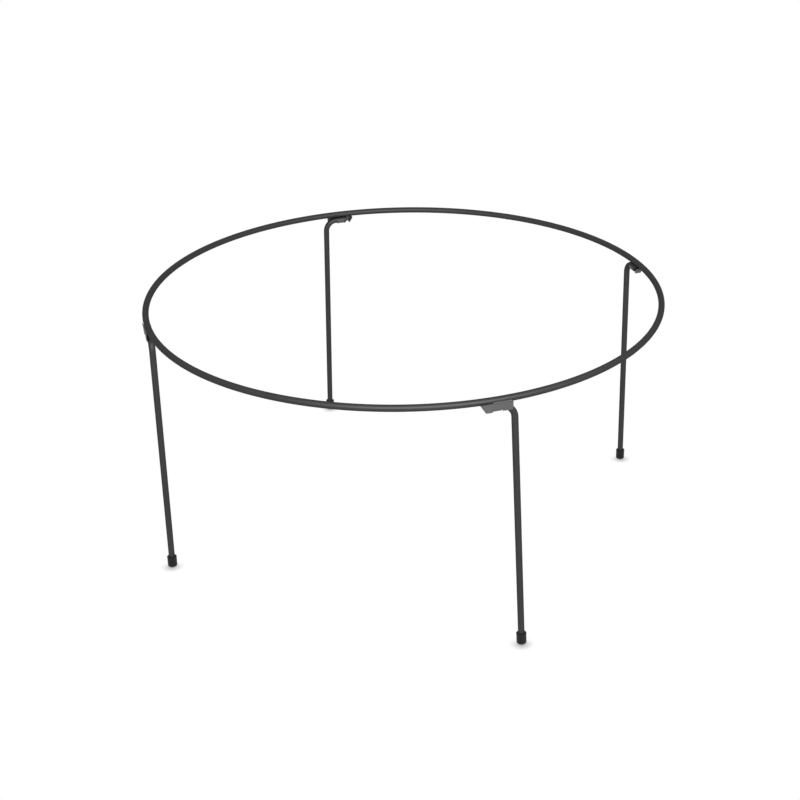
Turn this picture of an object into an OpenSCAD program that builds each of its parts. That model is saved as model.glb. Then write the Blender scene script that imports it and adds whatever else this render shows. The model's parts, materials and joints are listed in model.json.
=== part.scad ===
// Folding roundnet stand: a steel tube hoop on four legs that fold inward.
// All sizes are in millimetres and degrees. +Z is up, and the feet stand on z = 0.
// The origin is on the floor, straight below the middle of the hoop.

/* [Hoop] */
// Outside diameter of the hoop
hoop_outer_d = 914; // [880:1:960]
// Height of the hoop's top above the floor
stand_height = 455; // [400:1:520]
// Outside diameter of the tube that the hoop and the legs are bent from
tube_d = 11; // [10:0.5:12]
// Wall thickness of that tube
tube_wall = 1.2; // [0.8:0.1:2]
// Where the hoop's butt joint is, counter-clockwise from +X
joint_angle = 45; // [20:1:70]
// Root gap of the butt joint, filled by its weld
joint_gap = 1.2; // [0.6:0.1:2]

/* [Legs] */
// Outward lean of each leg, away from the middle of the hoop
splay = 2.9; // [0:0.1:5]
// Sideways lean of each leg, away from its own arm
lean = 1.7; // [0:0.1:3]
// Radius of the bend between arm and leg, at the tube's centre line
bend_r = 22; // [16:0.5:22]
// Gap between the hoop's underside and the top of the arm
arm_gap = 0.4; // [0.3:0.1:1]

/* [Brackets] */
// Thickness of the bracket's sheet steel
sheet_t = 1.2; // [0.8:0.1:1.6]
// Distance from the leg's centre line to the bracket's near edge
cheek_start = 5; // [4:0.1:6]
// Length of the bracket's outer cheek along its top edge
cheek_length = 53; // [52:0.1:56]
// How far below the hoop's centre line the cheek's top edge stops
cheek_top_drop = 2.6; // [2:0.1:3.5]
// How far below the arm's centre line the cheek's far part reaches
cheek_drop = 5.7; // [5:0.1:6.5]
// Length that the bevel takes off the cheek's lower far corner
bevel_run = 9.7; // [8:0.1:11]
// How far below the arm's centre line the ear that stops the leg reaches
ear_drop = 5; // [4:0.1:6]
// Distance from the leg's centre line to the start of the hook under the arm
hook_start = 22.5; // [22:0.5:24]
// Length of the hook that the arm turns in
hook_length = 15; // [12:0.5:16]
// How far above the arm's centre line the hook's inner lip ends
hook_lip = 2; // [1:0.5:4]
// Radial clearance of the arm in the hook
running_gap = 0.05; // [0.03:0.01:0.1]
// Clearance between the open leg and the ear
stop_gap = 0.35; // [0.3:0.05:0.6]

/* [Foot caps] */
// Outside diameter of a cap
cap_d = 17; // [15:0.1:18]
// Length of a cap along the leg
cap_length = 19.5; // [15:0.5:26]
// Thickness of the cap's end, between the tube and the floor
cap_floor = 3; // [2:0.5:5]

/* [Pins and welds] */
// Diameter of the spring pin that keeps an arm in its hook
pin_d = 3; // [2.5:0.5:3.5]
// How far the pin stands out of the arm
pin_stand = 2; // [1.6:0.1:3]
// Width of a weld bead
bead_d = 3.4; // [3:0.1:4]
// Length of the weld bead that holds a bracket
bead_length = 28; // [15:1:35]

/* [Hidden] */

$fn = 64;
// Extra length on a cutting tool, so that it passes right through
past = 1;

coat_colour = [0.30, 0.30, 0.31];
weld_colour = [0.36, 0.36, 0.37];
cap_colour = [0.09, 0.09, 0.09];
pin_colour = [0.16, 0.16, 0.17];

tube_r = tube_d / 2;
bore_r = tube_r - tube_wall;
hoop_r = (hoop_outer_d - tube_d) / 2;
hoop_z = stand_height - tube_r;

// The arm is straight and the hoop is round, so the arm sits half the hoop's rise inward
arm_x = hoop_r - cheek_length * cheek_length / (16 * hoop_r);
arm_z = hoop_z - tube_d - arm_gap;
// Places along a bracket are distances from the leg, measured clockwise seen from above
leg_y = cheek_start + cheek_length / 2;
// Length of a leg's centre line from the end of its bend to the floor
leg_reach = (arm_z / cos(splay) - bend_r) / cos(lean);
// How far the ball between bend and leg stands proud of the tube
ball_over = 0.02;

hook_r = tube_r + running_gap;
hook_end = hook_start + hook_length;
cheek_end = cheek_start + cheek_length;
cheek_top = hoop_z - arm_z - cheek_top_drop;
// The ear stands off so that the splayed leg clears it down to its lower edge
ear_x = (tube_r + ear_drop * sin(splay)) / cos(splay) + stop_gap;
joggle_length = 2.5;
ear_corner_r = 3;
// Width of the slits beside the hook, where the sheet is free to fold
relief = 0.4;
// The lug folded in along the bevel covers the arm's open end and stops under the hoop
lug_reach = 7;
lug_clearance = 0.7;
lug_top = tube_r + arm_gap - lug_clearance;
lug_width = sheet_t / cos(atan(bevel_run / (cheek_top + cheek_drop)));

cap_r = cap_d / 2;
cap_corner_r = 2.4;
cap_lip_r = 0.9;
cap_lip_stand = 0.25;
// A cap is square to its leg, and this much longer so that the floor trims its end level
cap_tilt = acos(cos(lean) * cos(splay));
cap_trim = (cap_r - cap_corner_r) * tan(cap_tilt);
trim_size = 4 * cap_d;

pin_r = pin_d / 2;
pin_wall = 0.7;
pin_slot = 0.8;
pin_sink = 0.3;
// Play between pin and hook, and the wall left between pin and open end
pin_play = 0.5;
pin_to_end = 1.5;
pin_place = hook_end + pin_play + pin_r;
pin_top = tube_r - pin_sink;
pin_length = pin_top + tube_r + pin_stand;
// Length of the arm, from the leg's centre line to its open end
arm_length = pin_place + pin_r + pin_to_end;

bead_r = bead_d / 2;
bead_raise = 0.7;
bead_start = 8;
joint_cap_w = 4.2;
joint_cap_stand = 0.35;

// Bracket and leg n, a quarter turn apart from the next
module station(n) rotate([0, 0, 90 * (n - 1)]) children();

// Frame on the arm's centre line: +X outward, +Y along the arm towards the leg
module on_arm() translate([arm_x, 0, arm_z]) children();

// Frame of an open leg: tilted outward about the arm, with Y at the leg's centre line
module on_leg_plane() on_arm() rotate([0, -splay, 0]) translate([0, leg_y, 0]) children();

// Frame of the leg's straight tube: origin at the end of the bend, -Z down the leg
module on_leg() on_leg_plane() translate([0, 0, -bend_r]) rotate([lean, 0, 0]) children();

// Turns a drawing so that its X runs along the arm, its Y up and its thickness outward
module stand_up() rotate([90, 0, 90]) children();

// An arc of the hoop's circle with the given cross-section, in degrees from +X
module hoop_arc(from, span) rotate([0, 0, from]) rotate_extrude(angle = span) children();

module ring(outer_r, inner_r) {
    difference() {
        circle(r = outer_r);
        circle(r = inner_r);
    }
}

function arc_degrees(length) = length / hoop_r * 180 / PI;

module hoop() {
    gap = arc_degrees(joint_gap);
    color(coat_colour)
        translate([0, 0, hoop_z])
            hoop_arc(joint_angle + gap / 2, 360 - gap, $fn = 180)
                translate([hoop_r, 0]) ring(tube_r, bore_r);
}

// The butt weld fills the root gap and stands a little proud as a flat band
module hoop_weld() {
    gap = arc_degrees(joint_gap);
    band = arc_degrees(joint_cap_w);
    color(weld_colour)
        translate([0, 0, hoop_z]) {
            hoop_arc(joint_angle - gap / 2, gap) translate([hoop_r, 0]) ring(tube_r, bore_r);
            hoop_arc(joint_angle - band / 2, band)
                translate([hoop_r, 0]) ring(tube_r + joint_cap_stand, tube_r);
        }
}

// The hook is the cheek's sheet curled under the arm, open at the top where the hoop closes it
module hook() {
    translate([0, leg_y - hook_start, 0])
        rotate([90, 0, 0])
            linear_extrude(hook_length)
                difference() {
                    hook_fill(hook_r + sheet_t, cheek_top);
                    hook_fill(hook_r, cheek_top + past);
                    translate([-2 * hook_r, hook_lip]) square([2 * hook_r, cheek_top]);
                }
}

module hook_fill(r, top) {
    circle(r = r);
    square([r, top]);
}

// Plan of the outer cheek: straight along the hook, then set outward to form the ear
module cheek_plan() {
    set_out = ear_x - hook_r;
    ear_from = leg_y - hook_start + joggle_length;
    polygon([
        [hook_r, leg_y - cheek_end],
        [hook_r + sheet_t, leg_y - cheek_end],
        [hook_r + sheet_t, leg_y - hook_start],
        [hook_r + sheet_t + set_out, ear_from],
        [hook_r + sheet_t + set_out, leg_y - cheek_start],
        [hook_r + set_out, leg_y - cheek_start],
        [hook_r + set_out, ear_from],
        [hook_r, leg_y - hook_start]
    ]);
}

// Side outline of the cheek's far part, drawn with its X from the far end towards the leg
module far_side() {
    polygon([
        [leg_y - cheek_end, cheek_top],
        [leg_y - cheek_end + bevel_run, -cheek_drop],
        [leg_y - hook_end - relief, -cheek_drop],
        [leg_y - hook_end - relief, cheek_top]
    ]);
}

// The rest of the cheek's side outline: short above the hook, and deep again at the ear
module near_side() {
    ear_end = leg_y - cheek_start;
    polygon([
        [leg_y - hook_end - relief, cheek_top],
        [leg_y - hook_end - relief, 0],
        [leg_y - hook_start + relief, 0],
        [leg_y - hook_start + relief, -ear_drop],
        [ear_end - ear_corner_r, -ear_drop],
        [ear_end, ear_corner_r - ear_drop],
        [ear_end, cheek_top]
    ]);
    translate([ear_end - ear_corner_r, ear_corner_r - ear_drop]) circle(r = ear_corner_r);
}

module cheek() {
    height = cheek_top + cheek_drop + 2 * past;
    intersection() {
        translate([0, 0, -cheek_drop - past]) linear_extrude(height) cheek_plan();
        stand_up()
            linear_extrude(ear_x + sheet_t + past) {
                far_side();
                near_side();
            }
    }
}

// The cheek's bevelled end folded in across the arm's open end
module end_lug() {
    translate([-lug_reach, 0, 0])
        stand_up()
            linear_extrude(lug_reach + hook_r + sheet_t / 2)
                difference() {
                    far_side();
                    translate([lug_width, 0]) far_side();
                    translate([leg_y - cheek_end - past, lug_top]) square([cheek_length, cheek_top]);
                }
}

module bracket(n) {
    color(coat_colour)
        station(n) on_arm() {
            hook();
            cheek();
            end_lug();
        }
}

// A bead with round ends, on top of the cheek and against the flank of the hoop
module bracket_weld(n) {
    color(weld_colour)
        station(n) on_arm()
            translate([
                hook_r + sheet_t / 2 - bead_r / 4,
                leg_y - bead_start - bead_length,
                cheek_top + bead_raise
            ]) {
                sphere(r = bead_r);
                rotate([-90, 0, 0]) cylinder(r = bead_r, h = bead_length);
                translate([0, bead_length, 0]) sphere(r = bead_r);
            }
}

// The bent shape of arm and leg, swept with radius r and longer by extra at both ends.
// A ball a hair larger turns the end of the right-angled bend into the leaning leg
module bent_rod(r, extra) {
    stand_up() {
        translate([-bend_r, 0, 0])
            rotate([0, -90, 0]) cylinder(r = r, h = arm_length - bend_r + extra);
        translate([-bend_r, -bend_r, 0])
            rotate_extrude(angle = 90) translate([bend_r, 0]) circle(r = r);
        translate([0, -bend_r, 0]) {
            sphere(r = r + ball_over);
            rotate([90, 0, lean]) cylinder(r = r, h = leg_reach - cap_floor + extra);
        }
    }
}

module leg(n) {
    color(coat_colour)
        station(n) on_leg_plane()
            difference() {
                bent_rod(tube_r, 0);
                bent_rod(bore_r, past);
                translate([0, -pin_place, 0])
                    cylinder(r = pin_r, h = 2 * (tube_r + past), center = true);
            }
}

// A slotted spring pin across the arm, flush above and standing out below
module retaining_pin(n) {
    color(pin_colour)
        station(n) on_leg_plane()
            translate([0, -pin_place, pin_top - pin_length])
                difference() {
                    cylinder(r = pin_r, h = pin_length);
                    translate([0, 0, -past])
                        cylinder(r = pin_r - pin_wall, h = pin_length + 2 * past);
                    translate([-pin_slot / 2, -pin_d, -past])
                        cube([pin_slot, pin_d, pin_length + 2 * past]);
                }
}

// Half outline of a cap, with its end at y = 0
module cap_outline() {
    difference() {
        union() {
            square([cap_r - cap_corner_r, cap_corner_r]);
            translate([0, cap_corner_r]) square([cap_r, cap_length - cap_corner_r - cap_lip_r]);
            translate([cap_r - cap_corner_r, cap_corner_r]) circle(r = cap_corner_r);
            square([cap_r + cap_lip_stand - cap_lip_r, cap_length]);
            translate([cap_r + cap_lip_stand - cap_lip_r, cap_length - cap_lip_r])
                circle(r = cap_lip_r);
        }
        translate([0, cap_floor + cap_trim]) square([tube_r, cap_length]);
    }
}

module foot_cap(n) {
    color(cap_colour)
        station(n)
            difference() {
                on_leg()
                    translate([0, 0, -leg_reach - cap_trim])
                        rotate_extrude() cap_outline();
                translate([arm_x - trim_size / 2, 0, -trim_size])
                    cube([trim_size, 2 * trim_size, trim_size]);
            }
}

hoop();
hoop_weld();
bracket(1);  // bracket_1
bracket(2);  // bracket_2
bracket(3);  // bracket_3
bracket(4);  // bracket_4
bracket_weld(1);  // bracket_weld_1
bracket_weld(2);  // bracket_weld_2
bracket_weld(3);  // bracket_weld_3
bracket_weld(4);  // bracket_weld_4
leg(1);  // leg_1
leg(2);  // leg_2
leg(3);  // leg_3
leg(4);  // leg_4
retaining_pin(1);  // retaining_pin_1
retaining_pin(2);  // retaining_pin_2
retaining_pin(3);  // retaining_pin_3
retaining_pin(4);  // retaining_pin_4
foot_cap(1);  // foot_cap_1
foot_cap(2);  // foot_cap_2
foot_cap(3);  // foot_cap_3
foot_cap(4);  // foot_cap_4
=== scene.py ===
# %% [markdown]
# # A folding roundnet stand
# The object is the bare stand of a roundnet lawn game: a round hoop of thin steel tube on four
# bent-tube legs. Each leg's short arm lies along under the hoop and turns in a folded sheet-steel
# bracket, so the legs swing inward for carrying. Vinyl caps close the lower ends of the legs.
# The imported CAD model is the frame: its joints and feet say where everything goes. Every piece
# here is a finer mesh that stands for one CAD node and rides on the same body.

# %% Load the frame
import json
import math

import bmesh
import bpy
from mathutils import Matrix, Vector


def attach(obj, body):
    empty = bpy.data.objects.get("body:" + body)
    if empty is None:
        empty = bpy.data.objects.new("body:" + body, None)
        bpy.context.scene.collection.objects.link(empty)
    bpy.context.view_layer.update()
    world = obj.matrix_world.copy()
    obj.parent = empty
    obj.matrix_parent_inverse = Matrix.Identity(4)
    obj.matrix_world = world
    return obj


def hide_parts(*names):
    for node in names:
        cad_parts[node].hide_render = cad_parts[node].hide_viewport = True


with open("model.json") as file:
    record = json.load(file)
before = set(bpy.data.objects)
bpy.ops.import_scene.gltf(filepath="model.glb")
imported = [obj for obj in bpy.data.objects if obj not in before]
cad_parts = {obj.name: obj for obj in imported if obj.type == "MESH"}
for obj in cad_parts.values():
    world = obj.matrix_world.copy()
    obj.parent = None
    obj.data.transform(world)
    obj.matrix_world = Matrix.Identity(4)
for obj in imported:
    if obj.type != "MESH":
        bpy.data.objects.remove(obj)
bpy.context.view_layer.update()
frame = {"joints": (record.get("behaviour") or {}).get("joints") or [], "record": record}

# %% [markdown]
# ## Sizes
# The stand has few driving sizes. The hinge line of each leg, the feet and the rim come from the
# frame, and the leg's two small tilts follow from where its foot stands. The sizes that a joint or
# a mount can't tell, such as the tube and the sheet, are written here in metres.

# %% Places from the frame
mounts = {mount["name"]: Vector(mount["pos_m"]) for mount in frame["record"]["mounts"]}
joints = frame["joints"]
hinge_1 = Vector(joints[0]["pos_m"])
arm_x = hinge_1.xy.length
arm_z = hinge_1.z
hoop_z = mounts["net_rim"].z
print("arms", round(arm_x, 4), "out and", round(arm_z, 4), "up, rim at", round(hoop_z, 4))

# %% Tube and hoop
hoop_outer_d = 0.914
tube_r = 0.0055
tube_wall = 0.0012
bore_r = tube_r - tube_wall
hoop_r = hoop_outer_d / 2 - tube_r
joint_angle = math.radians(45)
joint_gap = 0.0012
deburr = 0.0003

# %% Bracket and leg
# Places along a bracket are distances from its leg's centre line, towards the bracket's far end
sheet = 0.0012
plate_start = 0.005
plate_length = 0.053
plate_end = plate_start + plate_length
plate_below_hoop = 0.0026
plate_top = hoop_z - arm_z - plate_below_hoop
plate_drop = 0.0057
bevel_run = 0.0097
ear_drop = 0.005
hook_start = 0.0225
hook_width = 0.015
hook_end = hook_start + hook_width
hook_play = 0.00005
hook_bore = tube_r + hook_play
hook_lip = 0.002
bend_r = 0.022
leg_y = plate_start + plate_length / 2

# %% Tilts of an open leg
foot = mounts["foot_1"] - hinge_1
splay = math.atan2(foot.x, arm_z)
leg_drop = arm_z / math.cos(splay)
lean = math.atan2(foot.y - leg_y, leg_drop - bend_r)
leg_reach = (leg_drop - bend_r) / math.cos(lean)
print("splay", round(math.degrees(splay), 2), "lean", round(math.degrees(lean), 2), "degrees")

# %% [markdown]
# ## Frames of reference
# Four brackets and legs are the same parts turned round the hoop. Each one is built in the frame
# of its own hinge, with X outward, Y along the arm towards the leg and Z up, and then moved by one
# matrix. The points are moved and not the object, so every mesh keeps its own place in space,
# and textures that read object coordinates differ from one copy to the next.

# %% Frames at a hinge
def at_hinge(joint):
    """Matrix from a bracket's own frame to the stand."""
    along = Vector(joint["axis"])
    up = Vector((0, 0, 1))
    outward = along.cross(up)
    turn = Matrix((outward, along, up)).transposed().to_4x4()
    return Matrix.Translation(joint["pos_m"]) @ turn


def at_leg_plane(joint):
    """The plane of a leg: tilted outward about the arm, with Y at the leg's centre line."""
    return at_hinge(joint) @ Matrix.Rotation(-splay, 4, "Y") @ Matrix.Translation((0, leg_y, 0))


def at_leg(joint):
    """The straight of a leg: origin level with the end of the bend, and -Z down the leg."""
    down = Matrix.Translation((0, 0, -bend_r)) @ Matrix.Rotation(lean, 4, "X")
    return at_leg_plane(joint) @ down


# %% [markdown]
# ## From rings to a piece
# Nearly everything on the stand is round bar, tube or moulding, which is a row of rings. One loft
# joins rings with quads. A tube with a real wall is a closed row: out along the outer skin, over
# the cut end and back through the bore. That keeps every piece a closed skin with no stray faces.

# %% Loft and piece
same_place = 1e-7


def loft(rings, closed=True):
    """Points and quads of a skin over rings of points; closed joins the last to the first."""
    count = len(rings[0])
    points = [point for ring in rings for point in ring]
    faces = []
    for i in range(len(rings) if closed else len(rings) - 1):
        here = i * count
        there = (i + 1) % len(rings) * count
        for k in range(count):
            after = (k + 1) % count
            faces.append((here + k, here + after, there + after, there + k))
    return points, faces


def new_piece(name, points, faces, place=Matrix(), sharp=35):
    """An object at the origin with its points moved by place, smooth below the sharp angle."""
    mesh = bpy.data.meshes.new(name)
    mesh.from_pydata([place @ Vector(point) for point in points], [], faces)
    shape = bmesh.new()
    shape.from_mesh(mesh)
    bmesh.ops.remove_doubles(shape, verts=shape.verts, dist=same_place)
    bmesh.ops.recalc_face_normals(shape, faces=shape.faces)
    shape.to_mesh(mesh)
    shape.free()
    mesh.shade_smooth()
    mesh.set_sharp_from_angle(angle=math.radians(sharp))
    piece = bpy.data.objects.new(name, mesh)
    bpy.context.scene.collection.objects.link(piece)
    return piece


def settle(piece, body, node, finish):
    """Hangs a finished piece on its body, gives it its finish and hides its CAD node."""
    piece.data.materials.clear()
    piece.data.materials.append(finish)
    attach(piece, body)
    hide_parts(node)


# %% [markdown]
# ## Shader maths
# A finish is a small tree of nodes. Drawing it in code is easier to read when sums look like sums,
# so one class wraps a socket: arithmetic on it adds Math nodes, and node() adds anything else.

# %% Wire
class Wire:
    """A socket of a shader node. Sums on wires add Math nodes, and node() adds any other."""

    def __init__(self, tree, socket=None):
        self.tree = tree
        self.socket = socket

    def node(self, kind, settings=None, inputs=None, output=0):
        """Adds a node: its settings first, then values or wires for its sockets."""
        made = self.tree.nodes.new("ShaderNode" + kind)
        for name, value in (settings or {}).items():
            if name == "stops":
                self.set_stops(made.color_ramp, value)
            else:
                setattr(made, name, value)
        for name, value in (inputs or {}).items():
            if isinstance(value, Wire):
                self.tree.links.new(value.socket, made.inputs[name])
            else:
                made.inputs[name].default_value = value
        return Wire(self.tree, made.outputs[output]) if len(made.outputs) else None

    @staticmethod
    def set_stops(ramp, stops):
        """Gives a colour ramp its stops, each a place and a level of grey."""
        while len(ramp.elements) < len(stops):
            ramp.elements.new(1.0)
        for element, (place, level) in zip(ramp.elements, stops):
            element.position = place
            element.color = (level, level, level, 1.0)

    def math(self, operation, *values):
        """A Math node on these values or wires."""
        return self.node("Math", {"operation": operation}, dict(enumerate(values)))

    def __add__(self, other):
        return self.math("ADD", self, other)

    def __radd__(self, other):
        return self.math("ADD", other, self)

    def __sub__(self, other):
        return self.math("SUBTRACT", self, other)

    def __rsub__(self, other):
        return self.math("SUBTRACT", other, self)

    def __mul__(self, other):
        return self.math("MULTIPLY", self, other)

    def __rmul__(self, other):
        return self.math("MULTIPLY", other, self)

    def ramp(self, *stops):
        """This wire through a ramp of greys."""
        return self.node("ValToRGB", {"stops": stops}, {0: self})

    def blend(self, low, high):
        """A colour that goes from low to high with this wire."""
        # The colour sockets of this node share their names with others, so they go by number
        return self.node("Mix", {"data_type": "RGBA"}, {0: self, 6: low, 7: high}, 2)


def new_finish(name):
    """An empty material and a wire to start its tree from."""
    finish = bpy.data.materials.new(name)
    finish.use_nodes = True
    finish.node_tree.nodes.clear()
    return finish, Wire(finish.node_tree)


def grey(level, blue=1.0):
    """A near-neutral colour."""
    return (level, level, level * blue, 1.0)


# %% [markdown]
# ## Powder coat
# Hoop, legs and brackets wear a satin dark-grey powder coat. The powder is sprayed on dry and
# melted, so its skin has a fine orange peel, a slow drift of gloss from batch and baking, and
# specks of dust baked in. Its colour hardly changes: the roughness and the bumps make it look real.
# The dark tint of its reflection keeps a white room from whitening the flanks of a thin tube.

# %% Powder coat
def powder_coat(name, level, shine, flake):
    """Powder coat of that grey level and mean roughness, with flake as its share of metal."""
    finish, wire = new_finish(name)
    place = wire.node("TexCoord", output="Object")
    cloud = wire.node("TexNoise", {}, {"Vector": place, "Scale": 22.0, "Detail": 3.0})
    peel = wire.node("TexNoise", {}, {"Vector": place, "Scale": 760.0, "Detail": 2.0})
    grit = wire.node("TexNoise", {}, {"Vector": place, "Scale": 3600.0, "Detail": 1.0})
    specks = grit.ramp((0.68, 0.0), (0.76, 1.0))
    edges = wire.node("NewGeometry", output="Pointiness")
    worn = edges.ramp((0.52, 0.0), (0.60, 1.0)) * peel
    tone = cloud * 0.6 + specks * 0.3 + worn * 0.5
    colour = tone.blend(grey(level * 0.86, 1.03), grey(level * 1.24, 1.02))
    roughness = cloud * 0.16 + specks * 0.15 + (shine - 0.08)
    height = peel + grit * 0.25
    relief = wire.node("Bump", {}, {"Height": height, "Strength": 0.16, "Distance": 0.00012})
    surface = wire.node("BsdfPrincipled", {}, {
        "Base Color": colour,
        "Roughness": roughness,
        "Metallic": flake,
        "Specular IOR Level": 0.5,
        "Specular Tint": grey(0.3),
        "Normal": relief,
    })
    wire.node("OutputMaterial", {}, {"Surface": surface})
    return finish


# The sheet and the beads come out paler than the tubes. The butt weld looks like its tube, and
# has a material of its own because its slot is that of the welds.
tube_coat = powder_coat("tube_coat", level=0.048, shine=0.47, flake=0.75)
plate_coat = powder_coat("plate_coat", level=0.092, shine=0.46, flake=0.3)
weld_coat = powder_coat("weld_coat", level=0.085, shine=0.50, flake=0.4)
joint_coat = powder_coat("joint_coat", level=0.048, shine=0.47, flake=0.75)

# %% [markdown]
# ## Black oxide and vinyl
# The spring pins are hardened steel under black oxide, oily and a little streaked along the roll.
# The caps are dipped or moulded in soft black vinyl: nearly black, with a low sheen, fine
# mould grain, a bloom that dulls the skin in patches, and scuffs where the end meets the floor.

# %% Black oxide
def black_oxide(name):
    """Oily black oxide on a rolled pin, streaked along its length."""
    finish, wire = new_finish(name)
    place = wire.node("TexCoord", output="Object")
    drawn = wire.node("Mapping", {}, {"Vector": place, "Scale": (1.0, 1.0, 0.08)})
    streak = wire.node("TexNoise", {}, {"Vector": drawn, "Scale": 2600.0, "Detail": 3.0})
    colour = streak.blend(grey(0.030, 1.1), grey(0.075, 1.05))
    relief = wire.node("Bump", {}, {"Height": streak, "Strength": 0.1, "Distance": 0.00005})
    surface = wire.node("BsdfPrincipled", {}, {
        "Base Color": colour,
        "Metallic": 0.7,
        "Roughness": streak * 0.25 + 0.28,
        "Normal": relief,
    })
    wire.node("OutputMaterial", {}, {"Surface": surface})
    return finish


pin_finish = black_oxide("black_oxide")

# %% Vinyl
def vinyl(name, scuff_top):
    """Soft black vinyl, dull and scuffed below the height scuff_top."""
    finish, wire = new_finish(name)
    place = wire.node("TexCoord", output="Object")
    height = wire.node("SeparateXYZ", {}, {"Vector": place}, "Z")
    low = wire.node("MapRange", {}, {
        "Value": height,
        "From Min": 0.0,
        "From Max": scuff_top,
        "To Min": 1.0,
        "To Max": 0.0,
    })
    scratch = wire.node("TexNoise", {}, {"Vector": place, "Scale": 1500.0, "Detail": 4.0})
    bloom = wire.node("TexNoise", {}, {"Vector": place, "Scale": 180.0, "Detail": 2.0})
    grain = wire.node("TexNoise", {}, {"Vector": place, "Scale": 5200.0, "Detail": 1.0})
    scuff = scratch.ramp((0.45, 0.0), (0.62, 1.0)) * low
    colour = (scuff * 0.8 + bloom * 0.2).blend(grey(0.006), grey(0.030, 0.97))
    relief = wire.node("Bump", {}, {
        "Height": grain * 0.4 + scuff,
        "Strength": 0.15,
        "Distance": 0.0001,
    })
    surface = wire.node("BsdfPrincipled", {}, {
        "Base Color": colour,
        "Roughness": bloom * 0.15 + scuff * 0.2 + 0.42,
        "Specular IOR Level": 0.2,
        "Normal": relief,
    })
    wire.node("OutputMaterial", {}, {"Surface": surface})
    return finish


cap_finish = vinyl("black_vinyl", scuff_top=0.005)

# %% [markdown]
# ## Hoop
# The hoop is one straight tube, rolled round on a three-roll bender until its ends meet. A curve
# with a bevel depth would draw it in one line, but it would have no bore, no cut ends and no gap
# for the weld, so the tube is lofted: one ring a degree, out along its skin and back in its bore.

# %% Hoop tube
def ring_points(centre, outward, up, radius, sides):
    """A ring of points about centre, in the plane of the two directions."""
    turn = [2 * math.pi * k / sides for k in range(sides)]
    return [centre + radius * (math.cos(a) * outward + math.sin(a) * up) for a in turn]


def hoop_ring(angle, radius, sides=40):
    """A ring round the hoop's tube, at that angle from +X."""
    outward = Vector((math.cos(angle), math.sin(angle), 0))
    centre = outward * hoop_r + Vector((0, 0, hoop_z))
    return ring_points(centre, outward, Vector((0, 0, 1)), radius, sides)


hoop_steps = 360
half_gap = joint_gap / 2 / hoop_r
start = joint_angle + half_gap
sweep = 2 * math.pi - 2 * half_gap
turns = [start + sweep * i / hoop_steps for i in range(hoop_steps + 1)]
skin = [hoop_ring(turns[0], tube_r - deburr)]
skin += [hoop_ring(angle, tube_r) for angle in turns]
skin += [hoop_ring(turns[-1], tube_r - deburr)]
skin += [hoop_ring(angle, bore_r) for angle in reversed(turns)]
hoop = new_piece("hoop_tube", *loft(skin))
settle(hoop, "frame", "hoop", tube_coat)
print("hoop", len(hoop.data.polygons), "faces")

# %% [markdown]
# ## Butt weld
# The joint of the hoop is welded all round and then coated, so it shows as a low band of fine
# ripples. Each ripple is one pool of metal that froze on the last. The band's section is a shallow
# crown over the tube with a root that fills the gap, and the crown's height beats round the tube.

# %% Butt weld
joint_band = 0.0042
joint_crown = 0.00035
joint_edge = tube_r - 0.00004
joint_foot = tube_r - 0.0003
crown_steps = 8
joint_ripples = 26
steps_per_ripple = 8
ripple_bow = 1.3
crown_mean, crown_beat = 0.82, 0.18


def joint_section(turn):
    """Section of the weld at one place round the tube: distance along the hoop, radius."""
    section = []
    for i in range(crown_steps + 1):
        across = -1 + 2 * i / crown_steps
        beat = math.cos(joint_ripples * turn + ripple_bow * across * across)
        crown = joint_crown * (1 - across * across) * (crown_mean + crown_beat * beat)
        section.append((across * joint_band / 2, joint_edge + crown))
    return section + [
        (joint_band / 2, joint_foot),
        (joint_gap / 2, joint_foot),
        (joint_gap / 2, bore_r),
        (-joint_gap / 2, bore_r),
        (-joint_gap / 2, joint_foot),
        (-joint_band / 2, joint_foot),
    ]


joint_out = Vector((math.cos(joint_angle), math.sin(joint_angle), 0))
joint_along = Vector((-math.sin(joint_angle), math.cos(joint_angle), 0))
joint_centre = joint_out * hoop_r + Vector((0, 0, hoop_z))
joint_steps = joint_ripples * steps_per_ripple
joint_rings = []
for i in range(joint_steps):
    turn = 2 * math.pi * i / joint_steps
    spoke = math.cos(turn) * joint_out + math.sin(turn) * Vector((0, 0, 1))
    joint_rings.append([
        joint_centre + along * joint_along + radius * spoke
        for along, radius in joint_section(turn)
    ])
hoop_weld = new_piece("hoop_butt_weld", *loft(joint_rings), sharp=50)
settle(hoop_weld, "frame", "hoop_weld", joint_coat)
print("butt weld", len(hoop_weld.data.polygons), "faces")

# %% [markdown]
# ## Bracket
# A bracket is one blank of 1.2 mm sheet, cut flat and then folded. A long tab curls under the arm
# as its hook, the end away from the leg folds in along a bevel and covers the arm's open end, and
# the end by the leg is set out a little to make the ear that stops the open leg. The mesh is made
# as the real one is: draw the flat blank, score it where it will bend, fold every point by a rule,
# and only then give it thickness. Thin slits at the ends of the folds keep the sheet from tearing.

# %% Places on the blank
fold_mid_r = 0.0021
fold_at = fold_mid_r + sheet / 2
hook_slit = 0.0004
lug_slit = 0.0003
joggle = 0.0025
lug_reach = 0.007
lug_drop = 0.0003
ear_play = 0.00035
hook_mid_r = hook_bore + sheet / 2
hook_length = hook_mid_r * (math.pi + math.asin(hook_lip / hook_mid_r))
ear_x = (tube_r + ear_drop * math.sin(splay)) / math.cos(splay) + ear_play
set_out = ear_x - hook_bore
far = leg_y - plate_end
near = leg_y - plate_start
hook_far = leg_y - hook_end
hook_near = leg_y - hook_start
bevel_down = Vector((bevel_run, -plate_top - plate_drop)).normalized()
bevel_in = Vector((-bevel_down.y, bevel_down.x))
bevel_length = math.hypot(bevel_run, plate_top + plate_drop)
lug_top = tube_r - lug_drop
lug_from = (plate_top - lug_top + sheet * bevel_in.y) / -bevel_down.y
lug_edge = fold_at - fold_mid_r * math.pi / 2 - (hook_mid_r - fold_mid_r + lug_reach)


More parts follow.
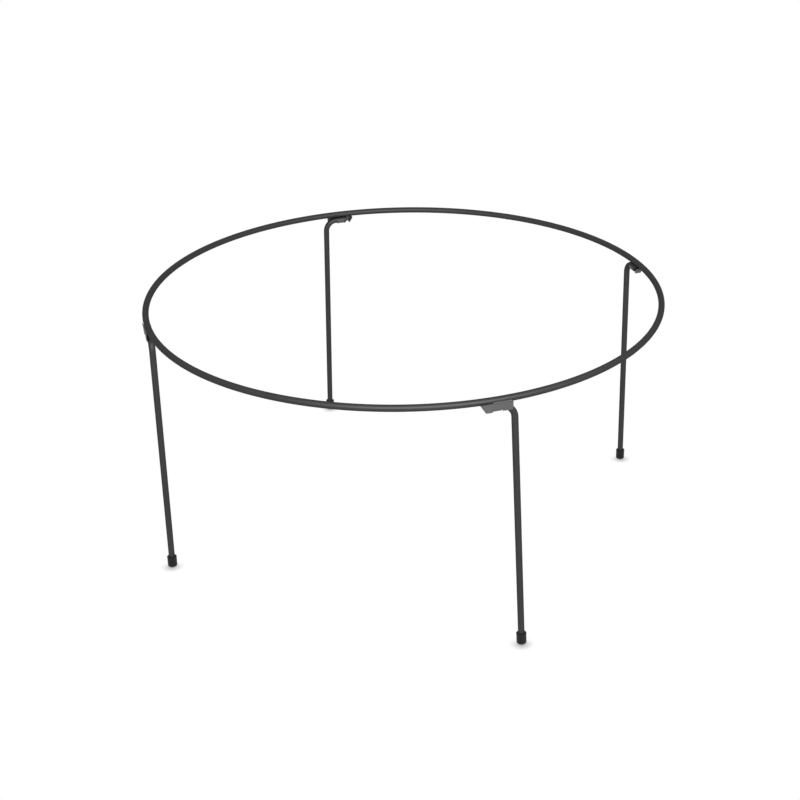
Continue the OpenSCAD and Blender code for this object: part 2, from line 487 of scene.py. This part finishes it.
def by_bevel(down, inward):
    """A place on the blank: down along the bevel from its top end, then in from it."""
    return Vector((far, plate_top)) + down * bevel_down + inward * bevel_in


# %% Outline of the blank
arc_step = math.radians(15)
corner_r = 0.0010
far_corner_r = 0.0012
lug_mouth_r = 0.0004
lug_corner_r = 0.0015
bevel_foot_r = 0.0020
slit_mouth_r = 0.0008
ear_corner_r = 0.0030


def rounded(corners):
    """An outline through the corners (point, radius), each rounded with an arc."""
    outline = []
    for i, (corner, radius) in enumerate(corners):
        before = (Vector(corners[i - 1][0]) - Vector(corner)).normalized()
        after = (Vector(corners[(i + 1) % len(corners)][0]) - Vector(corner)).normalized()
        half = before.angle(after) / 2
        middle = Vector(corner) + (before + after).normalized() * radius / math.sin(half)
        begin = Vector(corner) + before * radius / math.tan(half) - middle
        sweep = begin.angle_signed(Vector(corner) + after * radius / math.tan(half) - middle)
        steps = max(2, round(abs(sweep) / arc_step))
        for k in range(steps + 1):
            outline.append(middle + Matrix.Rotation(-sweep * k / steps, 2) @ begin)
    return outline


# A slit's round end takes a little less than its width, so that its two arcs stay apart
arc_fit = 0.98
slit = hook_slit / 2 * arc_fit
nick = lug_slit / 2 * arc_fit
blank = rounded([
    ((near, plate_top), corner_r),
    ((far, plate_top), far_corner_r),
    (by_bevel(lug_from - lug_slit, 0), lug_mouth_r),
    (by_bevel(lug_from - lug_slit, fold_at + nick), nick),
    (by_bevel(lug_from, fold_at + nick), nick),
    (by_bevel(lug_from, lug_edge), lug_corner_r),
    (by_bevel(bevel_length, lug_edge), bevel_foot_r),
    ((far + bevel_run, -plate_drop), bevel_foot_r),
    ((hook_far - hook_slit, -plate_drop), slit_mouth_r),
    ((hook_far - hook_slit, slit), slit),
    ((hook_far, slit), slit),
    ((hook_far, -hook_length), corner_r),
    ((hook_near, -hook_length), corner_r),
    ((hook_near, slit), slit),
    ((hook_near + hook_slit, slit), slit),
    ((hook_near + hook_slit, -ear_drop), slit_mouth_r),
    ((near, -ear_drop), ear_corner_r),
])
print("blank outline", len(blank), "points, hook tab", round(hook_length, 4), "metres long")

# %% Folding rule
def on_hook(place):
    """Whether a place on the blank belongs to the hook's tab."""
    return place.y < 0 and hook_far - hook_slit / 2 < place.x < hook_near + hook_slit / 2


def inside_bevel(place):
    """How far a place on the blank lies inside the bevel."""
    return (place - by_bevel(0, 0)).dot(bevel_in)


def on_lug(place):
    """Whether a place on the blank belongs to the lug and its fold."""
    below = (place - by_bevel(0, 0)).dot(bevel_down) > lug_from - lug_slit / 2
    return below and inside_bevel(place) < fold_at and not on_hook(place)


def fold(place):
    """Where a place on the blank ends up on the folded sheet's middle, in the hinge's frame."""
    if on_lug(place):
        inward = inside_bevel(place)
        bent = (fold_at - inward) / fold_mid_r
        flat = max(0.0, bent - math.pi / 2) * fold_mid_r
        bent = min(bent, math.pi / 2)
        moved = place + (fold_at - fold_mid_r * math.sin(bent) - inward) * bevel_in
        return Vector((hook_mid_r - fold_mid_r * (1 - math.cos(bent)) - flat, moved.x, moved.y))
    if on_hook(place):
        curl = -place.y / hook_mid_r
        return Vector((hook_mid_r * math.cos(curl), place.x, -hook_mid_r * math.sin(curl)))
    share = min(1.0, max(0.0, (place.x - hook_near) / joggle))
    return Vector((hook_mid_r + set_out * share * share * (3 - 2 * share), place.x, place.y))


# %% Score lines
curls = 26
fold_steps = 8
joggle_steps = 6


def anywhere(place):
    """A test that every place on the blank passes."""
    return True


def score(shape, point, normal, wanted=anywhere):
    """Splits the faces of the flat blank that are wanted along a straight line."""
    faces = [face for face in shape.faces if wanted(face.calc_center_median().xy)]
    parts = set(faces)
    for face in faces:
        parts.update(face.edges)
        parts.update(face.verts)
    bmesh.ops.bisect_plane(
        shape, geom=list(parts), dist=same_place,
        plane_co=Vector((*point, 0)), plane_no=Vector((*normal, 0)),
    )


def scored_blank():
    """The flat blank, split along every line where the sheet bends."""
    shape = bmesh.new()
    shape.faces.new([shape.verts.new((*point, 0)) for point in blank])
    for i in range(curls):
        score(shape, (0, -hook_length * i / curls), (0, 1), on_hook if i else anywhere)
    for i in range(fold_steps + 1):
        line = by_bevel(0, fold_at - fold_mid_r * math.pi / 2 * i / fold_steps)
        score(shape, line, bevel_in, on_lug if i else anywhere)
    for i in range(joggle_steps + 1):
        score(shape, (hook_near + joggle * i / joggle_steps, 0), (1, 0))
    return shape


# %% Fold and thicken
broken_edge = 0.0002
edge_angle = 40


def new_bracket(name, place):
    """One folded bracket, with thickness and broken edges."""
    shape = scored_blank()
    flat = [vert.co.copy() for vert in shape.verts]
    shape.verts.index_update()
    faces = [[vert.index for vert in face.verts] for face in shape.faces]
    shape.free()
    piece = new_piece(name, [fold(point.xy) for point in flat], faces, place)
    skin = piece.modifiers.new("thickness", "SOLIDIFY")
    skin.thickness = sheet
    skin.offset = 0
    skin.use_even_offset = True
    edges = piece.modifiers.new("edges", "BEVEL")
    edges.width = broken_edge
    edges.segments = 2
    edges.limit_method = "ANGLE"
    edges.angle_limit = math.radians(edge_angle)
    piece.modifiers.new("normals", "WEIGHTED_NORMAL").keep_sharp = False
    return piece


for n, joint in enumerate(joints, start=1):
    bracket = new_bracket(f"bracket_plate_{n}", at_hinge(joint))
    settle(bracket, "frame", f"bracket_{n}", plate_coat)
print("bracket", len(bracket.data.polygons), "faces before its thickness")

# %% [markdown]
# ## Bracket welds
# One bead along the top of the plate joins it to the flank of the hoop. A hand weld looks like a
# stack of coins laid over: each ripple is a crescent, and the bead swells where the torch rests
# and runs out at both ends. The bead follows the hoop's curve, which leaves the straight plate.

# %% Bracket weld
bead_r = 0.0017
bead_start = 0.008
bead_length = 0.028
bead_x = hook_mid_r - bead_r / 4
bead_rise = 0.0007
bead_z = plate_top + bead_rise
bead_follow = 0.6
bead_body = 0.90
ripple = 0.0014
ripple_depth = 0.045
ripple_lag = 0.35
ripple_side = math.radians(60)
# The hand's unsteadiness is two slow waves along the bead: the size, pace and start of each
unsteady = 0.6
hand_waves = ((0.05, 9.1, 1.0), (0.04, 23.7, 0.0))


def hoop_bow(y):
    """How far the hoop's centre line lies outside the arm's, at a place along the bracket."""
    return math.sqrt(hoop_r * hoop_r - y * y) - arm_x


def new_bead(name, place):
    """A rippled bead between plate and hoop."""
    count = 180
    sides = 24
    first = leg_y - bead_start + bead_r
    total = bead_length + 2 * bead_r
    middle_bow = hoop_bow(leg_y - bead_start - bead_length / 2)
    rings = []
    for i in range(count + 1):
        share = i / count
        y = first - total * share
        end = min(share, 1 - share) * total / bead_r
        swell = math.sqrt(1 - max(0.0, 1 - end) ** 2)
        wander = sum(size * math.sin(pace * share + begin) for size, pace, begin in hand_waves)
        thick = bead_body + wander * unsteady
        x = bead_x + bead_follow * (hoop_bow(y) - middle_bow)
        ring = []
        for k in range(sides):
            turn = 2 * math.pi * k / sides
            crescent = ripple_lag * math.cos(turn - ripple_side)
            beat = (share * total / ripple + crescent) % 1.0
            radius = bead_r * swell * (thick + ripple_depth * math.sin(math.pi * beat))
            ring.append((x + radius * math.cos(turn), y, bead_z + radius * math.sin(turn)))
        rings.append(ring)
    points, faces = loft(rings, closed=False)
    return new_piece(name, points, faces, place, sharp=60)


for n, joint in enumerate(joints, start=1):
    bead = new_bead(f"bracket_bead_{n}", at_hinge(joint))
    settle(bead, "frame", f"bracket_weld_{n}", weld_coat)
print("bead", len(bead.data.polygons), "faces")

# %% [markdown]
# ## Legs
# A leg is a tube bent once, a little less than square, round a die of twice the tube's size. The
# section flattens slightly in the bend, as a real bend does without a mandrel. Its centre line is
# two straights joined by an arc that is tangent to both, and the skin and the bore follow it.

# %% Centre line of a leg
pin_r = 0.0015
end_play = 0.0005
pin_place = hook_end + end_play + pin_r
arm_past_pin = 0.0015
arm_length = pin_place + pin_r + arm_past_pin
cap_floor = 0.003
corner_y = -bend_r * math.tan(lean)
setback = bend_r * math.tan((math.pi / 2 - lean) / 2)
bend_steps = 28
# The bend is squeezed by up to this share of its height, and bulges sideways by a third of that
bend_squeeze = 0.035
squeeze_per_bulge = 3


def leg_line():
    """Stations along a leg: centre in the leg's plane, direction of its normal, flattening."""
    square = math.pi / 2
    line = [(y, 0.0, square, 0.0) for y in (-arm_length, -0.5 * (arm_length + setback))]
    for i in range(bend_steps + 1):
        turn = square + (lean - square) * i / bend_steps
        flat = bend_squeeze * math.sin(math.pi * i / bend_steps)
        y = corner_y - setback + bend_r * math.cos(turn)
        z = -bend_r + bend_r * math.sin(turn)
        line.append((y, z, turn, flat))
    bottom = leg_reach - cap_floor
    for share in (0.2, 0.4, 0.6, 0.8, 1.0):
        y = share * bottom * math.sin(lean)
        z = -bend_r - share * bottom * math.cos(lean)
        line.append((y, z, lean, 0.0))
    return line


def leg_ring(station, radius, shift=0.0, sides=40):
    """A ring round the leg at a station, moved by shift along the tube."""
    y, z, turn, flat = station
    y += shift * math.sin(turn)
    z -= shift * math.cos(turn)
    ring = []
    for k in range(sides):
        a = 2 * math.pi * k / sides
        rise = radius * math.sin(a) * (1 - flat)
        side = radius * math.cos(a) * (1 + flat / squeeze_per_bulge)
        ring.append((side, y + rise * math.cos(turn), z + rise * math.sin(turn)))
    return ring


# %% Leg tube
def new_leg(name, place):
    """A bent tube with a real wall and broken edges at its two cut ends."""
    line = leg_line()
    rings = [leg_ring(line[0], tube_r - deburr), leg_ring(line[0], tube_r, deburr)]
    rings += [leg_ring(station, tube_r) for station in line[1:-1]]
    rings += [leg_ring(line[-1], tube_r, -deburr), leg_ring(line[-1], tube_r - deburr)]
    rings += [leg_ring(station, bore_r) for station in reversed(line)]
    return new_piece(name, *loft(rings), place)


for n, joint in enumerate(joints, start=1):
    leg = new_leg(f"leg_tube_{n}", at_leg_plane(joint))
    settle(leg, f"leg_{n}", f"leg_{n}", tube_coat)
print("leg", len(leg.data.polygons), "faces")

# %% [markdown]
# ## Retaining pins
# A slotted spring pin is a strip of spring steel rolled into a C, with both ends tapered so that it
# starts in its hole. It is driven across the arm beyond the hook and keeps the arm from sliding
# out. The strip's section is one closed outline, lofted along the pin and closed at the ends.

# %% Retaining pin
pin_wall = 0.0007
pin_slot = 0.0008
pin_sunk = 0.0003
pin_proud = 0.002
pin_top = tube_r - pin_sunk
pin_bottom = -tube_r - pin_proud
pin_taper = 0.0004
pin_tip = 0.0003
pin_steps = 36


def new_pin(name, place):
    """A C-shaped spring pin across the arm, with its slot towards the open end."""
    opening = math.asin(pin_slot / 2 / pin_r)
    begin = -math.pi / 2 + opening
    sweep = 2 * math.pi - 2 * opening
    arc = [begin + sweep * k / pin_steps for k in range(pin_steps + 1)]
    inner = pin_r - pin_wall
    rings = []
    for z, less in (
        (pin_bottom, pin_tip),
        (pin_bottom + pin_taper, 0.0),
        (pin_top - pin_taper, 0.0),
        (pin_top, pin_tip),
    ):
        ring = [((pin_r - less) * math.cos(a), (pin_r - less) * math.sin(a), z) for a in arc]
        ring += [(inner * math.cos(a), inner * math.sin(a), z) for a in reversed(arc)]
        rings.append(ring)
    points, faces = loft(rings, closed=False)
    count = len(rings[0])
    for base in (0, count * (len(rings) - 1)):
        for k in range(pin_steps):
            faces.append((base + k, base + k + 1, base + count - 2 - k, base + count - 1 - k))
    return new_piece(name, points, faces, place @ Matrix.Translation((0, -pin_place, 0)))


for n, joint in enumerate(joints, start=1):
    pin = new_pin(f"spring_pin_{n}", at_leg_plane(joint))
    settle(pin, f"leg_{n}", f"retaining_pin_{n}", pin_finish)
print("pin", len(pin.data.polygons), "faces")

# %% [markdown]
# ## Foot caps
# A cap is a thick-walled vinyl cup pushed over the end of the leg. It has a soft rolled lip, its
# skin swells a hair where the tube fills it, and its end is squeezed level by the floor. A profile
# turned about the leg's own axis gives the cup, and points that would sink into the floor stop
# at it, which makes the flat contact patch of a leaning leg.

# %% Foot cap
cap_r = 0.0085
cap_length = 0.0195
cap_corner_r = 0.0024
cap_lip_r = 0.0009
cap_lip_stand = 0.00025
cap_end_r = 0.003
# Near the cap's end the skin draws in to a waist, and under the lip it swells to a neck
waist_depth = 0.00015
waist_low, waist_high = 0.0042, 0.0050
swell_from = 0.0072
neck_low, neck_high = 0.0016, 0.0009
neck_swell = 0.00004
# The mouth flares a little and then grips the tube
mouth_flare = 0.0006
mouth_play = 0.0001
grip = 0.00005
grip_from = 0.001
cap_tilt = math.acos(math.cos(lean) * math.cos(splay))
cap_trim = (cap_r - cap_corner_r) * math.tan(cap_tilt)


def arc_points(x, y, radius, first, last, steps):
    """Points on an arc about (x, y), between two angles in degrees."""
    turns = [math.radians(first + (last - first) * i / steps) for i in range(steps + 1)]
    return [(x + radius * math.cos(a), y + radius * math.sin(a)) for a in turns]


def cap_profile():
    """Half section of a cap as (radius, height), from the middle of its end to that of its cup."""
    lip_x = cap_r + cap_lip_stand - cap_lip_r
    lip_y = cap_length - cap_lip_r
    waist = cap_r - waist_depth
    mouth = cap_length - mouth_flare
    bore = tube_r - grip
    floor = cap_floor + cap_trim
    profile = [(0.0, 0.0), (cap_end_r, 0.0)]
    corner_x = cap_r - cap_corner_r
    profile += arc_points(corner_x, cap_corner_r, cap_corner_r, first=-90, last=0, steps=8)
    profile += [(waist, waist_low), (waist, waist_high), (cap_r, swell_from)]
    profile += [(cap_r, lip_y - neck_low), (cap_r + neck_swell, lip_y - neck_high)]
    profile += arc_points(lip_x, lip_y, cap_lip_r, first=-20, last=90, steps=8)
    profile += [(tube_r + mouth_flare, cap_length), (tube_r + mouth_play, mouth)]
    profile += [(bore, mouth - grip_from), (bore, floor), (0.0, floor)]
    return profile


def new_cap(name, place):
    """A vinyl cup on the end of a leg, level where it meets the floor."""
    sides = 48
    rings = []
    for radius, height in cap_profile():
        turns = [2 * math.pi * k / sides for k in range(sides)]
        rings.append([(radius * math.cos(a), radius * math.sin(a), height) for a in turns])
    down = place @ Matrix.Translation((0, 0, -leg_reach - cap_trim))
    points, faces = loft(rings, closed=False)
    points = [down @ Vector(point) for point in points]
    for point in points:
        point.z = max(point.z, 0.0)
    return new_piece(name, points, faces, sharp=50)


for n, joint in enumerate(joints, start=1):
    cap = new_cap(f"foot_boot_{n}", at_leg(joint))
    settle(cap, f"leg_{n}", f"foot_cap_{n}", cap_finish)
print("cap", len(cap.data.polygons), "faces")

# %% [markdown]
# ## Stage
# A plain white floor in a white room, under one soft lamp. Rays of the camera and of reflections
# see pure white, and the light that reaches the stand by any other way comes from a dimmer room
# and a paper floor. The white floor keeps a contact shadow: ambient occlusion about a direction
# that is tilted away from the camera, so that the shadow falls in front of each cap.

# %% Rays that see white
def seen_by_eye(wire):
    """1 for rays of the camera, of reflections and of what is seen through glass, or else 0."""
    seen = wire.node("LightPath", output="Is Camera Ray")
    for name in ("Is Glossy Ray", "Is Transmission Ray"):
        seen = seen.math("MAXIMUM", seen, wire.node("LightPath", output=name))
    return seen


# %% Floor
shadow_from = Vector((0.24, 0.84, 0.48))
shadow_reach = 0.015
paper_white = 0.85
floor_size = 30.0


def new_floor(size):
    """A wide white floor that keeps the shadow where the stand touches it."""
    half = size / 2
    corners = [(-half, -half, 0), (half, -half, 0), (half, half, 0), (-half, half, 0)]
    floor = new_piece("floor", corners, [(0, 1, 2, 3)])
    finish, wire = new_finish("studio_floor")
    shown = seen_by_eye(wire)
    paper = wire.node("BsdfDiffuse", {}, {"Color": grey(paper_white)})
    lean_in = wire.node("CombineXYZ", {}, dict(enumerate(shadow_from)))
    contact = wire.node("AmbientOcclusion", {"samples": 16}, {
        "Distance": shadow_reach,
        "Normal": lean_in,
    }, "AO")
    white = wire.node("Emission", {}, {"Color": grey(1.0), "Strength": contact})
    seen = wire.node("MixShader", {}, {0: shown, 1: paper, 2: white})
    wire.node("OutputMaterial", {}, {"Surface": seen})
    floor.data.materials.append(finish)


new_floor(floor_size)

# %% World
world = bpy.data.worlds.new("studio")
bpy.context.scene.world = world
world.use_nodes = True
world.node_tree.nodes.clear()
sky = Wire(world.node_tree)
# How much of the white that the eye sees the room gives as light
room_light = 0.30
strength = seen_by_eye(sky) * (1 - room_light) + room_light
glow = sky.node("Background", {}, {"Color": grey(1.0), "Strength": strength})
sky.node("OutputWorld", {}, {"Surface": glow})

# %% Lamps
def softbox(name, azimuth, elevation, distance, width, height, power):
    """A rectangular lamp that looks at the stand from that direction, in degrees from +X."""
    a, e = math.radians(azimuth), math.radians(elevation)
    way = Vector((math.cos(e) * math.cos(a), math.cos(e) * math.sin(a), math.sin(e)))
    lamp = bpy.data.lights.new(name, "AREA")
    lamp.shape = "RECTANGLE"
    lamp.size = width
    lamp.size_y = height
    lamp.energy = power
    holder = bpy.data.objects.new(name, lamp)
    holder.location = way * distance + Vector((0, 0, hoop_z / 2))
    holder.rotation_euler = way.to_track_quat("Z", "Y").to_euler()
    bpy.context.scene.collection.objects.link(holder)


softbox("key", azimuth=-98, elevation=34, distance=2.0, width=2.4, height=1.0, power=50)

# %% [markdown]
# ## Camera
# The camera stands a little over two metres from the hoop and looks down on it. Its place is
# given round the hoop's middle, so that the view turns with one angle, and its lens shift moves
# the frame without turning the camera, as a view camera's front does.

# %% Camera
view_distance = 2.2606
view_rise = math.radians(21.846)
view_azimuth = math.radians(-106.634)
view_pitch = math.radians(32.439)
view_yaw = math.radians(3.122)
picture = 800
focal = 1248.7
sensor = 36.0
picture_middle = Vector((469.75, 524.92))

hoop_middle = Vector((0, 0, hoop_z))
towards = Vector((math.cos(view_azimuth), math.sin(view_azimuth), 0))
sideways = (-towards).cross(Vector((0, 0, 1)))
camera = bpy.data.cameras.new("camera")
camera.sensor_width = sensor
camera.lens = focal / picture * sensor
camera.shift_x = -(picture_middle.x - picture / 2) / picture
camera.shift_y = (picture_middle.y - picture / 2) / picture
viewer = bpy.data.objects.new("camera", camera)
viewer.location = hoop_middle + view_distance * (
    math.cos(view_rise) * towards + math.sin(view_rise) * Vector((0, 0, 1))
)
looking = math.cos(view_pitch) * (
    math.cos(view_yaw) * -towards + math.sin(view_yaw) * sideways
) - math.sin(view_pitch) * Vector((0, 0, 1))
viewer.rotation_euler = looking.to_track_quat("-Z", "Y").to_euler()
bpy.context.scene.collection.objects.link(viewer)
bpy.context.scene.camera = viewer
bpy.context.scene.view_settings.view_transform = "Standard"
print("camera at", [round(side, 3) for side in viewer.location])
